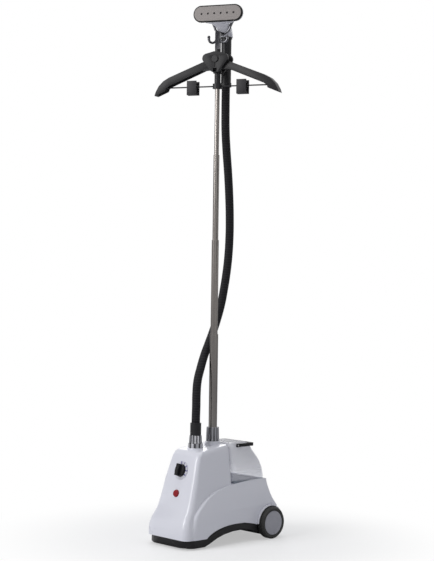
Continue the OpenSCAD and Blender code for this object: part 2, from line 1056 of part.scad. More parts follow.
module soleplate() {
  color([0.6, 0.57, 0.56])
    at_hanger()
      translate([0, 0, head_z])
        rotate([90, 0, 0])
          linear_extrude(8)
            difference() {
              stadium(sole_length, sole_height);
              for (i = [-2.5:1:2.5])
                translate([i * 20, 0])
                  circle(d = steam_hole_diameter, $fn = 24);
            }
}

module hose_cuff() {
  color([0.12, 0.12, 0.12])
    at_outlet()
      tube(32, hose_diameter + 0.4, nut_top + gap, 348);
}

function unit(v) = v / norm(v);

// Ring of points round the hose at one point of its line.
function hose_ring(i) =
  let(
    last = len(hose_line) - 1,
    t = unit(hose_line[min(i + 1, last)] - hose_line[max(i - 1, 0)]),
    a = unit(cross(t, [0, 1, 0.3])),
    b = cross(t, a)
  )
  [for (k = [0:hose_sides - 1])
    hose_line[i] + hose_diameter / 2 * (cos(k * 360 / hose_sides) * a
      + sin(k * 360 / hose_sides) * b)];

module steam_hose() {
  rings = len(hose_line);
  n = hose_sides;
  points = [for (i = [0:rings - 1]) each hose_ring(i)];
  sides = [for (i = [0:rings - 2], k = [0:n - 1])
    [i * n + k, i * n + (k + 1) % n, (i + 1) * n + (k + 1) % n, (i + 1) * n + k]];
  foot = [for (k = [n - 1:-1:0]) k];
  top = [for (k = [0:n - 1]) (rings - 1) * n + k];
  color([0.06, 0.06, 0.06])
    polyhedron(points, concat(sides, [foot, top]));
}

base_skirt();
upper_housing();
deck_tray();
front_feet();
axle();
axle_bearings();
wheel_right_tyre();
wheel_right_hub();
wheel_left_tyre();
wheel_left_hub();
dial_plate();
dial_knob();
indicator_lens();
lamp_holder();
rotary_switch();
pole_socket();
hose_union();
hose_nut();
pole_lock_collar();
boiler();
heater_terminals();
thermostat();
feed_pipe();
steam_pipe();
valve_seat();
cord_gland();
water_tank();
tank_cap();
tank_handle();
pole_tube_1();
pole_tube_2();
pole_tube_3();
pole_tube_4();
guide_ring_1();
guide_ring_2();
guide_ring_3();
foot_bush_2();
foot_bush_3();
foot_bush_4();
hub_front();
hub_back();
hanger_sleeve();
hanger_button();
arm_right();
arm_left();
clip_rods();
clip_right_body();
clip_right_jaw();
clip_left_body();
clip_left_jaw();
hook_bracket();
handset_handle();
neck_ring();
head_housing();
head_gasket();
soleplate();
hose_cuff();
steam_hose();
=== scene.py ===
import bpy
import math
from mathutils import Vector, Matrix


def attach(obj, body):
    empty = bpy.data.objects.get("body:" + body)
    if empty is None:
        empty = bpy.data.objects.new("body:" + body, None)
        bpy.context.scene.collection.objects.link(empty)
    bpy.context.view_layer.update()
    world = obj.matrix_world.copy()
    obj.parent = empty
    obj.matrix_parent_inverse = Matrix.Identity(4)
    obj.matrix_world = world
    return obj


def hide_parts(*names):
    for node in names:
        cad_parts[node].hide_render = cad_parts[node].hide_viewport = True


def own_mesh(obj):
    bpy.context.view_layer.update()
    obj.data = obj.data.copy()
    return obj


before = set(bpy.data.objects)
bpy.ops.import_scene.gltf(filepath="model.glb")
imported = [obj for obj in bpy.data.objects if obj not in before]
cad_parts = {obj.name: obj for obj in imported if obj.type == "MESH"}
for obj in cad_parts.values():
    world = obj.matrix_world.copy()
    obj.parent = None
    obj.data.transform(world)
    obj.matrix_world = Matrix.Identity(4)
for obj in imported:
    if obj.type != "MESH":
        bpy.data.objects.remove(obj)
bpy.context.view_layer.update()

# Camera: at the front right corner, at about half the height of the object, with a long lens.
# It looks very slightly down, and leans a little to one side.
cam_distance = 4.2
cam_data = bpy.data.cameras.new("camera")
cam = bpy.data.objects.new("camera", cam_data)
bpy.context.scene.collection.objects.link(cam)
cam_data.lens = 91.9
cam_data.sensor_width = 36
cam_data.clip_end = 60
cam_az = math.radians(46.6)
cam.location = (
    cam_distance * math.sin(cam_az), -0.010 - cam_distance * math.cos(cam_az), 0.804)
cam.rotation_euler = (math.radians(90 - 0.58), 0, cam_az - math.radians(0.09))
bpy.context.view_layer.update()
cam.rotation_euler = (
    cam.rotation_euler.to_matrix() @ Matrix.Rotation(math.radians(0.79), 3, "Z")
).to_euler()
bpy.context.scene.camera = cam

# Steam hose: a woven black sleeve over a ribbed rubber tube, 25 mm thick.
# It leaves the outlet straight up, swings behind the pole and ends inside the handle.
hose_path = [
    (0, -0.078, 0.2887), (0, -0.078, 0.320), (0, -0.078, 0.360), (0, -0.077, 0.395),
    (-0.003, -0.074, 0.430), (-0.010, -0.064, 0.468), (-0.019, -0.044, 0.505),
    (-0.028, -0.022, 0.540), (-0.034, 0.001, 0.575), (-0.038, 0.022, 0.610),
    (-0.040, 0.041, 0.650), (-0.041, 0.056, 0.690), (-0.042, 0.068, 0.735),
    (-0.042, 0.077, 0.780), (-0.042, 0.084, 0.830), (-0.042, 0.088, 0.890),
    (-0.041, 0.087, 0.950), (-0.039, 0.082, 1.010), (-0.036, 0.073, 1.080),
    (-0.033, 0.062, 1.150), (-0.030, 0.054, 1.210), (-0.0287, 0.0516, 1.270),
    (-0.0287, 0.0516, 1.340), (-0.0287, 0.0516, 1.400),
]
bpy.ops.object.select_all(action="DESELECT")
curve = bpy.data.curves.new("hose_line", "CURVE")
curve.dimensions = "3D"
spline = curve.splines.new("BEZIER")
spline.bezier_points.add(len(hose_path) - 1)
for point, place in zip(spline.bezier_points, hose_path):
    point.co = place
    point.handle_left_type = "AUTO"
    point.handle_right_type = "AUTO"
curve.bevel_depth = 0.0124
curve.bevel_resolution = 6
curve.resolution_u = 12
curve.use_fill_caps = True
hose = bpy.data.objects.new("steam_hose_sleeve", curve)
bpy.context.scene.collection.objects.link(hose)
bpy.context.view_layer.objects.active = hose
hose.select_set(True)
bpy.ops.object.convert(target="MESH")
bpy.ops.object.shade_smooth()
mat = bpy.data.materials.new("hose_sleeve")
mat.use_nodes = True
nt = mat.node_tree
shader = nt.nodes["Principled BSDF"]
coords = nt.nodes.new("ShaderNodeTexCoord")
rib = nt.nodes.new("ShaderNodeTexWave")
rib.wave_type = "BANDS"
rib.bands_direction = "Z"
rib.inputs["Scale"].default_value = 42
rib.inputs["Distortion"].default_value = 0.3
weave = nt.nodes.new("ShaderNodeTexVoronoi")
weave.inputs["Scale"].default_value = 900
mix = nt.nodes.new("ShaderNodeMath")
mix.operation = "MULTIPLY_ADD"
mix.inputs[1].default_value = 0.22
bump = nt.nodes.new("ShaderNodeBump")
bump.inputs["Strength"].default_value = 0.55
bump.inputs["Distance"].default_value = 0.0011
# The sleeve's colour follows the ribs: painted shade, darker in the rib grooves and lighter on the
# crests.
tone = nt.nodes.new("ShaderNodeValToRGB")
tone.color_ramp.elements[0].color = (0.006, 0.006, 0.007, 1)
tone.color_ramp.elements[1].color = (0.016, 0.015, 0.018, 1)
nt.links.new(coords.outputs["Object"], rib.inputs["Vector"])
nt.links.new(coords.outputs["Object"], weave.inputs["Vector"])
nt.links.new(weave.outputs["Distance"], mix.inputs[0])
nt.links.new(rib.outputs["Fac"], mix.inputs[2])
nt.links.new(mix.outputs[0], bump.inputs["Height"])
nt.links.new(rib.outputs["Fac"], tone.inputs["Fac"])
nt.links.new(tone.outputs["Color"], shader.inputs["Base Color"])
nt.links.new(bump.outputs["Normal"], shader.inputs["Normal"])
shader.inputs["Roughness"].default_value = 0.62
shader.inputs["Sheen Weight"].default_value = 0.04
shader.inputs["Specular IOR Level"].default_value = 0.15
hose.data.materials.clear()
hose.data.materials.append(mat)
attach(hose, "base")
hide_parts("steam_hose")
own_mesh(hose)

# Floor and light: a pale floor that fades into a white backdrop, a large soft key from the front,
# a low fill from the right, a broad light overhead and one behind, on the left, for the edges.
bpy.ops.object.select_all(action="DESELECT")
bpy.ops.mesh.primitive_circle_add(vertices=64, radius=30, fill_type="NGON", location=(0, 0, 0))
floor = bpy.context.object
floor.name = "floor"
mat = bpy.data.materials.new("floor_pale")
mat.use_nodes = True
nt = mat.node_tree
shader = nt.nodes["Principled BSDF"]
shader.inputs["Base Color"].default_value = (0.93, 0.93, 0.94, 1)
shader.inputs["Roughness"].default_value = 0.8
shader.inputs["Specular IOR Level"].default_value = 0.1
coords = nt.nodes.new("ShaderNodeTexCoord")
reach = nt.nodes.new("ShaderNodeVectorMath")
reach.operation = "LENGTH"
fade = nt.nodes.new("ShaderNodeMapRange")
fade.interpolation_type = "SMOOTHSTEP"
fade.inputs["From Min"].default_value = 0.20
fade.inputs["From Max"].default_value = 0.75
fade.inputs["To Min"].default_value = 0.45
rays = nt.nodes.new("ShaderNodeLightPath")
seen = nt.nodes.new("ShaderNodeMath")
seen.operation = "MULTIPLY"
white = nt.nodes.new("ShaderNodeEmission")
white.inputs["Strength"].default_value = 1.0
both = nt.nodes.new("ShaderNodeMixShader")
nt.links.new(coords.outputs["Object"], reach.inputs[0])
nt.links.new(reach.outputs["Value"], fade.inputs["Value"])
nt.links.new(fade.outputs["Result"], seen.inputs[0])
nt.links.new(rays.outputs["Is Camera Ray"], seen.inputs[1])
nt.links.new(seen.outputs[0], both.inputs["Fac"])
nt.links.new(shader.outputs["BSDF"], both.inputs[1])
nt.links.new(white.outputs["Emission"], both.inputs[2])
nt.links.new(both.outputs["Shader"], nt.nodes["Material Output"].inputs["Surface"])
floor.data.materials.append(mat)
world = bpy.data.worlds.new("studio")
bpy.context.scene.world = world
world.use_nodes = True
nt = world.node_tree
room = nt.nodes["Background"]
room.inputs["Color"].default_value = (0.92, 0.95, 1.0, 1)
room.inputs["Strength"].default_value = 0.24
backdrop = nt.nodes.new("ShaderNodeBackground")
backdrop.inputs["Color"].default_value = (1, 1, 1, 1)
backdrop.inputs["Strength"].default_value = 1.0
rays = nt.nodes.new("ShaderNodeLightPath")
direct = nt.nodes.new("ShaderNodeMath")
direct.operation = "MAXIMUM"
through = nt.nodes.new("ShaderNodeMath")
through.operation = "MAXIMUM"
pick = nt.nodes.new("ShaderNodeMixShader")
nt.links.new(rays.outputs["Is Camera Ray"], direct.inputs[0])
nt.links.new(rays.outputs["Is Glossy Ray"], direct.inputs[1])
nt.links.new(direct.outputs[0], through.inputs[0])
nt.links.new(rays.outputs["Is Transmission Ray"], through.inputs[1])
nt.links.new(through.outputs[0], pick.inputs["Fac"])
nt.links.new(room.outputs["Background"], pick.inputs[1])
nt.links.new(backdrop.outputs["Background"], pick.inputs[2])
nt.links.new(pick.outputs["Shader"], nt.nodes["World Output"].inputs["Surface"])
bpy.context.scene.view_settings.view_transform = "Standard"
for name, place, aim, size, power in (
    ("key", (-0.7, -3.2, 2.1), (0, 0, 0.7), 1.5, 62),
    ("top", (0.0, 0.1, 3.4), (0, 0, 0.5), 2.4, 34),
    ("fill", (3.2, 0.4, 1.2), (0, 0, 0.6), 1.8, 4),
    ("rim", (-2.4, 2.0, 2.2), (0, 0, 0.8), 1.4, 18),
):
    light_data = bpy.data.lights.new(name, "AREA")
    light_data.size = size
    light_data.energy = power
    light = bpy.data.objects.new(name, light_data)
    bpy.context.scene.collection.objects.link(light)
    light.location = place
    light.rotation_euler = (Vector(aim) - Vector(place)).to_track_quat("-Z", "Y").to_euler()

# Dark cards: four tall black boards round the floor that only polished surfaces reflect.
# They give the chrome and the steel tubes their dark edges and are never seen themselves.
card_distance = 2.6
for index, (turn, width) in enumerate(((-62, 0.9), (100, 1.5), (172, 1.1), (18, 0.35))):
    bpy.ops.object.select_all(action="DESELECT")
    bpy.ops.mesh.primitive_plane_add(size=1, location=(0, 0, 0), rotation=(math.radians(90), 0, 0))
    card = bpy.context.object
    card.name = "card_" + str(index)
    card.scale = (width, 1, 3.2)
    card.location = (
        card_distance * math.sin(math.radians(turn)),
        -card_distance * math.cos(math.radians(turn)), 1.3)
    card.rotation_euler = (math.radians(90), 0, math.radians(turn))
    mat = bpy.data.materials.new("card_black")
    mat.use_nodes = True
    shader = mat.node_tree.nodes["Principled BSDF"]
    shader.inputs["Base Color"].default_value = (0.02, 0.018, 0.017, 1)
    shader.inputs["Roughness"].default_value = 0.9
    card.data.materials.append(mat)
    card.visible_camera = False
    card.visible_diffuse = False
    card.visible_shadow = False
    card.visible_transmission = False

# Base housing: white gloss plastic in one moulding, a sloping front tower and a wide haunch.
# Each is drawn up from its foot in rings, then joined, cut for the arch, wheels and tank, and
# rounded.
axle_y, axle_z = 0.142, 0.047
lofts = []
for name, corner, rings, lean in (
    ("housing_tower", 0.020, (
        (0.0272, -0.189, 0.010, 0.0865), (0.045, -0.1895, 0.010, 0.0860),
        (0.060, -0.188, 0.010, 0.0845),
        (0.076, -0.183, 0.010, 0.0815), (0.090, -0.175, 0.010, 0.0780),
        (0.104, -0.166, 0.010, 0.0755),
        (0.118, -0.160, 0.010, 0.0742), (0.136, -0.154, 0.010, 0.0727),
        (0.190, -0.139, 0.009, 0.0685),
        (0.240, -0.124, 0.008, 0.0610), (0.253, -0.119, 0.008, 0.0590),
        (0.262, -0.112, 0.007, 0.0565),
        (0.267, -0.103, 0.005, 0.0520), (0.268, -0.096, 0.003, 0.0460)), 7.8),
    ("housing_haunch", 0.014, (
        (0.0272, -0.168, 0.184, 0.0900), (0.064, -0.164, 0.184, 0.0888),
        (0.080, -0.158, 0.1845, 0.0872),
        (0.094, -0.151, 0.184, 0.0855), (0.106, -0.141, 0.175, 0.0843),
        (0.116, -0.131, 0.167, 0.0833),
        (0.128, -0.117, 0.160, 0.0822), (0.137, -0.105, 0.156, 0.0812),
        (0.146, -0.089, 0.152, 0.0801),
        (0.154, -0.072, 0.149, 0.0790), (0.160, -0.055, 0.147, 0.0781),
        (0.1655, -0.030, 0.145, 0.0773),
        (0.1700, 0.002, 0.1436, 0.0767), (0.1735, 0.040, 0.1425, 0.0762),
        (0.1760, 0.080, 0.1420, 0.0758)), 0),
):
    bpy.ops.object.select_all(action="DESELECT")
    bpy.ops.mesh.primitive_plane_add(size=1, location=(0, 0, 0))
    loft = bpy.context.object
    loft.name = name
    z, front, back, half = rings[0]
    loft.scale = (2 * half, back - front, 1)
    loft.location = (0, (front + back) / 2, z)
    bpy.ops.object.transform_apply(location=True, rotation=True, scale=True)
    bpy.ops.object.mode_set(mode="EDIT")
    bpy.ops.mesh.select_all(action="SELECT")
    bpy.ops.mesh.bevel(affect="VERTICES", offset=corner, segments=6, profile=0.5)
    bpy.ops.mesh.select_all(action="SELECT")
    for (z0, f0, b0, h0), (z1, f1, b1, h1) in zip(rings, rings[1:]):
        bpy.ops.mesh.extrude_region_move(
            TRANSFORM_OT_translate={"value": (0, (f1 + b1 - f0 - b0) / 2, z1 - z0)})
        bpy.ops.transform.resize(value=(h1 / h0, (b1 - f1) / (b0 - f0), 1),
                                 center_override=(0, (f1 + b1) / 2, z1))
    bpy.ops.mesh.select_all(action="DESELECT")
    bpy.ops.mesh.select_non_manifold()
    bpy.ops.mesh.edge_face_add()
    bpy.ops.mesh.select_all(action="SELECT")
    bpy.ops.mesh.normals_make_consistent(inside=False)
    if lean:
        bpy.ops.mesh.select_all(action="DESELECT")
        bpy.ops.object.mode_set(mode="OBJECT")
        for vert in loft.data.vertices:
            vert.select = vert.co.z > 0.252
        bpy.ops.object.mode_set(mode="EDIT")
        bpy.ops.transform.rotate(value=-math.radians(lean), orient_axis="X",
                                 center_override=(0, -0.119, 0.253))
    bpy.ops.object.mode_set(mode="OBJECT")
    lofts.append(loft)
housing, haunch = lofts
cutters = []
for name, kind, size, place in (
    ("cut_arch", "round", (0.128, 0.048, 0.4), (0, 0.008, 0.0095)),
    ("cut_rear", "box", (0.4, 0.200, 0.040), (0, 0.212, 0.0163)),
    ("cut_tray", "box", (0.143, 0.400, 0.060), (0, 0.211, 0.2003)),
    ("cut_well_right", "round", (0.051, 0.051, 0.060), (0.1137, axle_y, axle_z)),
    ("cut_well_left", "round", (0.051, 0.051, 0.060), (-0.1137, axle_y, axle_z)),
    ("cut_gland", "round_y", (0.0071, 0.0071, 0.020), (0, 0.184, 0.074)),
):
    bpy.ops.object.select_all(action="DESELECT")
    if kind == "box":
        bpy.ops.mesh.primitive_cube_add(size=1, location=place)
        bpy.context.object.scale = size
    else:
        bpy.ops.mesh.primitive_cylinder_add(
            vertices=96, radius=1, depth=1, location=place,
            rotation=(0, math.radians(90), 0) if kind == "round" else (math.radians(90), 0, 0))
        bpy.context.object.scale = (size[1], size[0], size[2])
    cutter = bpy.context.object
    cutter.name = name
    cutters.append(cutter)
bpy.context.view_layer.objects.active = housing
step = housing.modifiers.new("join", "BOOLEAN")
step.operation = "UNION"
step.object = haunch
bpy.ops.object.modifier_apply(modifier=step.name)
for cutter in cutters:
    step = housing.modifiers.new("cut", "BOOLEAN")
    step.operation = "DIFFERENCE"
    step.object = cutter
    bpy.ops.object.modifier_apply(modifier=step.name)
for cutter in cutters + [haunch]:
    bpy.data.objects.remove(cutter)
step = housing.modifiers.new("round", "BEVEL")
step.width = 0.0022
step.segments = 3
step.limit_method = "ANGLE"
step.angle_limit = math.radians(38)
step.use_clamp_overlap = True
bpy.ops.object.select_all(action="DESELECT")
housing.select_set(True)
bpy.context.view_layer.objects.active = housing
bpy.ops.object.modifier_apply(modifier=step.name)
for place, low, high, height in (
    ((0, -0.010, 0.266), 0.030, 0.0212, 0.025), ((0, -0.078, 0.262), 0.0255, 0.0232, 0.014)):
    bpy.ops.object.select_all(action="DESELECT")
    bpy.ops.mesh.primitive_cone_add(vertices=96, radius1=low, radius2=high, depth=height,
                                    location=(place[0], place[1], place[2] + height / 2))
    boss = bpy.context.object
    step = boss.modifiers.new("round", "BEVEL")
    step.width = 0.002
    step.segments = 3
    step.limit_method = "ANGLE"
    step.angle_limit = math.radians(40)
    bpy.ops.object.modifier_apply(modifier=step.name)
    housing.select_set(True)
    bpy.context.view_layer.objects.active = housing
    bpy.ops.object.join()
housing.name = "housing_shell"
bpy.ops.object.transform_apply(location=True, rotation=True, scale=True)
bpy.ops.object.shade_smooth_by_angle(angle=math.radians(32))
mat = bpy.data.materials.new("housing_gloss")
mat.use_nodes = True
nt = mat.node_tree
shader = nt.nodes["Principled BSDF"]
coords = nt.nodes.new("ShaderNodeTexCoord")
grain = nt.nodes.new("ShaderNodeTexNoise")
grain.inputs["Scale"].default_value = 9
grain.inputs["Detail"].default_value = 5
tone = nt.nodes.new("ShaderNodeValToRGB")
tone.color_ramp.elements[0].color = (0.700, 0.705, 0.775, 1)
tone.color_ramp.elements[1].color = (0.740, 0.745, 0.810, 1)
sheen = nt.nodes.new("ShaderNodeMapRange")
sheen.inputs["To Min"].default_value = 0.24
sheen.inputs["To Max"].default_value = 0.34
fine = nt.nodes.new("ShaderNodeTexNoise")
fine.inputs["Scale"].default_value = 700
bump = nt.nodes.new("ShaderNodeBump")
bump.inputs["Strength"].default_value = 0.05
bump.inputs["Distance"].default_value = 0.0003
nt.links.new(coords.outputs["Object"], grain.inputs["Vector"])
nt.links.new(coords.outputs["Object"], fine.inputs["Vector"])
nt.links.new(grain.outputs["Fac"], tone.inputs["Fac"])
nt.links.new(grain.outputs["Fac"], sheen.inputs["Value"])
nt.links.new(fine.outputs["Fac"], bump.inputs["Height"])
nt.links.new(tone.outputs["Color"], shader.inputs["Base Color"])
nt.links.new(sheen.outputs["Result"], shader.inputs["Roughness"])
nt.links.new(bump.outputs["Normal"], shader.inputs["Normal"])
shader.inputs["Coat Weight"].default_value = 0.25
shader.inputs["Coat Roughness"].default_value = 0.12
housing.data.materials.clear()
housing.data.materials.append(mat)
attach(housing, "base")
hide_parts("upper_housing")

# Water tank: clear, slightly milky plastic, one blown shell 2.2 mm thick that stands on the deck.
# It is drawn up in rings like the housing, then given its wall, with a pin each side for the
# handle.
bpy.ops.object.select_all(action="DESELECT")
tank_wall = 0.0022
tank_rings = (
    (0.1765, 0.0125, 0.1390, 0.0695), (0.1830, 0.0121, 0.1398, 0.0690),
    (0.1950, 0.0121, 0.1385, 0.0680),
    (0.2080, 0.0121, 0.1360, 0.0667), (0.2200, 0.0121, 0.1310, 0.0651),
    (0.2300, 0.0121, 0.1265, 0.0634),
    (0.2400, 0.0121, 0.1200, 0.0615), (0.2500, 0.0121, 0.1120, 0.0594),
    (0.2580, 0.0121, 0.1060, 0.0575),
    (0.2660, 0.0121, 0.1010, 0.0557), (0.2740, 0.0121, 0.0960, 0.0539),
    (0.2800, 0.0124, 0.0910, 0.0524),
    (0.2845, 0.0135, 0.0860, 0.0504), (0.2870, 0.0160, 0.0810, 0.0470),
    (0.2878, 0.0200, 0.0740, 0.0420),
)
bpy.ops.mesh.primitive_plane_add(size=1, location=(0, 0, 0))
tank = bpy.context.object
tank.name = "tank_shell"
z, front, back, half = tank_rings[0]
tank.scale = (2 * half, back - front, 1)
tank.location = (0, (front + back) / 2, z)
bpy.ops.object.transform_apply(location=True, rotation=True, scale=True)
bpy.ops.object.mode_set(mode="EDIT")
bpy.ops.mesh.select_all(action="SELECT")
bpy.ops.mesh.bevel(affect="VERTICES", offset=0.012, segments=6, profile=0.5)
bpy.ops.mesh.select_all(action="SELECT")
for (z0, f0, b0, h0), (z1, f1, b1, h1) in zip(tank_rings, tank_rings[1:]):
    bpy.ops.mesh.extrude_region_move(
        TRANSFORM_OT_translate={"value": (0, (f1 + b1 - f0 - b0) / 2, z1 - z0)})
    bpy.ops.transform.resize(value=(h1 / h0, (b1 - f1) / (b0 - f0), 1),
                             center_override=(0, (f1 + b1) / 2, z1))
bpy.ops.mesh.select_all(action="DESELECT")
bpy.ops.mesh.select_non_manifold()
bpy.ops.mesh.edge_face_add()
bpy.ops.mesh.select_all(action="SELECT")
bpy.ops.mesh.normals_make_consistent(inside=False)
bpy.ops.object.mode_set(mode="OBJECT")
step = tank.modifiers.new("wall", "SOLIDIFY")
step.thickness = tank_wall
step.offset = -1
bpy.ops.object.modifier_apply(modifier=step.name)
bpy.ops.object.shade_smooth_by_angle(angle=math.radians(35))
mat = bpy.data.materials.new("tank_clear")
mat.use_nodes = True
nt = mat.node_tree
shader = nt.nodes["Principled BSDF"]
out = nt.nodes["Material Output"]
coords = nt.nodes.new("ShaderNodeTexCoord")
split = nt.nodes.new("ShaderNodeSeparateXYZ")
milk = nt.nodes.new("ShaderNodeMapRange")
milk.inputs["From Min"].default_value = 0.176
milk.inputs["From Max"].default_value = 0.236
milk.inputs["To Min"].default_value = 0.16
milk.inputs["To Max"].default_value = 0.42
haze = nt.nodes.new("ShaderNodeTexNoise")
haze.inputs["Scale"].default_value = 14
haze.inputs["Detail"].default_value = 4
tone = nt.nodes.new("ShaderNodeValToRGB")
tone.color_ramp.elements[0].color = (0.83, 0.82, 0.86, 1)
tone.color_ramp.elements[1].color = (0.90, 0.89, 0.92, 1)
clear = nt.nodes.new("ShaderNodeBsdfTransparent")
clear.inputs["Color"].default_value = (0.96, 0.965, 0.98, 1)
blend = nt.nodes.new("ShaderNodeMixShader")
shader.inputs["Roughness"].default_value = 0.10
shader.inputs["IOR"].default_value = 1.49
nt.links.new(coords.outputs["Object"], split.inputs["Vector"])
nt.links.new(coords.outputs["Object"], haze.inputs["Vector"])
nt.links.new(split.outputs["Z"], milk.inputs["Value"])
nt.links.new(haze.outputs["Fac"], tone.inputs["Fac"])
nt.links.new(tone.outputs["Color"], shader.inputs["Base Color"])
nt.links.new(milk.outputs["Result"], blend.inputs[0])
nt.links.new(clear.outputs[0], blend.inputs[1])
nt.links.new(shader.outputs[0], blend.inputs[2])
nt.links.new(blend.outputs[0], out.inputs["Surface"])
tank.data.materials.clear()
tank.data.materials.append(mat)
for side in (-1, 1):
    bpy.ops.object.select_all(action="DESELECT")
    bpy.ops.mesh.primitive_cylinder_add(vertices=32, radius=0.002, depth=0.007,
                                        location=(side * 0.0565, 0.038, 0.2793),
                                        rotation=(0, math.radians(90), 0))
    tank.select_set(True)
    bpy.context.view_layer.objects.active = tank
    bpy.ops.object.join()
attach(tank, "tank")
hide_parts("water_tank")

# Head shell: white gloss plastic, wide and shallow behind the plate, drawn in and down to the neck.
# It starts as a round-ended outline and is drawn back in rings that turn towards the handle.
bpy.ops.object.select_all(action="DESELECT")
bpy.ops.mesh.primitive_plane_add(size=1, location=(0, 0, 0), rotation=(math.radians(90), 0, 0))
shell = bpy.context.object
shell.name = "head_shell"
shell.scale = (0.1522, 0.0482, 1)
shell.location = (0, -0.0002, 1.543)
bpy.ops.object.transform_apply(location=True, rotation=True, scale=True)
bpy.ops.object.mode_set(mode="EDIT")
bpy.ops.mesh.select_all(action="SELECT")
bpy.ops.mesh.bevel(affect="VERTICES", offset=0.0239, segments=10, profile=0.5)
bpy.ops.mesh.select_all(action="SELECT")
head_rings = (
    (0.0002, 1.5430, 0.1522, 0.0482, 0), (0.0060, 1.5430, 0.1518, 0.0478, 0),
    (0.0120, 1.5425, 0.1450, 0.0450, 4), (0.0165, 1.5410, 0.1300, 0.0425, 9),
    (0.0210, 1.5385, 0.1080, 0.0410, 15), (0.0250, 1.5355, 0.0850, 0.0400, 21),
    (0.0300, 1.5310, 0.0620, 0.0395, 29), (0.0360, 1.5250, 0.0480, 0.0390, 36),
    (0.0430, 1.5175, 0.0415, 0.0385, 41), (0.0510, 1.5085, 0.0390, 0.0375, 46),
    (0.0580, 1.5000, 0.0372, 0.0365, 55), (0.0635, 1.4930, 0.0362, 0.0360, 68),
    (0.0670, 1.4870, 0.0355, 0.0355, 82), (0.0680, 1.4835, 0.0345, 0.0345, 90),
)
y0, z0, w0, h0, t0 = (-0.0002, 1.543, 0.1522, 0.0482, 0)
for y1, z1, w1, h1, t1 in head_rings:
    bpy.ops.mesh.extrude_region_move(TRANSFORM_OT_translate={"value": (0, y1 - y0, z1 - z0)})
    bpy.ops.transform.rotate(value=-math.radians(t0), orient_axis="X", center_override=(0, y1, z1))
    bpy.ops.transform.resize(value=(w1 / w0, 1, h1 / h0), center_override=(0, y1, z1))
    bpy.ops.transform.rotate(value=math.radians(t1), orient_axis="X", center_override=(0, y1, z1))
    y0, z0, w0, h0, t0 = y1, z1, w1, h1, t1
bpy.ops.mesh.select_all(action="DESELECT")
bpy.ops.mesh.select_non_manifold()
bpy.ops.mesh.edge_face_add()
bpy.ops.mesh.select_all(action="SELECT")
bpy.ops.mesh.normals_make_consistent(inside=False)
bpy.ops.transform.rotate(value=-math.radians(25), orient_axis="Z", center_override=(0, 0, 0))
bpy.ops.transform.translate(value=(0, -0.010, 0))
bpy.ops.object.mode_set(mode="OBJECT")
bpy.ops.object.shade_smooth_by_angle(angle=math.radians(50))
mat = bpy.data.materials.new("head_gloss")
mat.use_nodes = True
nt = mat.node_tree
shader = nt.nodes["Principled BSDF"]
coords = nt.nodes.new("ShaderNodeTexCoord")
grain = nt.nodes.new("ShaderNodeTexNoise")
grain.inputs["Scale"].default_value = 18
tone = nt.nodes.new("ShaderNodeValToRGB")
tone.color_ramp.elements[0].color = (0.66, 0.66, 0.72, 1)
tone.color_ramp.elements[1].color = (0.72, 0.72, 0.78, 1)
bump = nt.nodes.new("ShaderNodeBump")
bump.inputs["Strength"].default_value = 0.04
bump.inputs["Distance"].default_value = 0.0003
nt.links.new(coords.outputs["Object"], grain.inputs["Vector"])
nt.links.new(grain.outputs["Fac"], tone.inputs["Fac"])
nt.links.new(grain.outputs["Fac"], bump.inputs["Height"])
nt.links.new(tone.outputs["Color"], shader.inputs["Base Color"])
nt.links.new(bump.outputs["Normal"], shader.inputs["Normal"])
shader.inputs["Roughness"].default_value = 0.27
shader.inputs["Coat Weight"].default_value = 0.3
shell.data.materials.clear()
shell.data.materials.append(mat)
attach(shell, "handset")
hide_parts("head_housing")

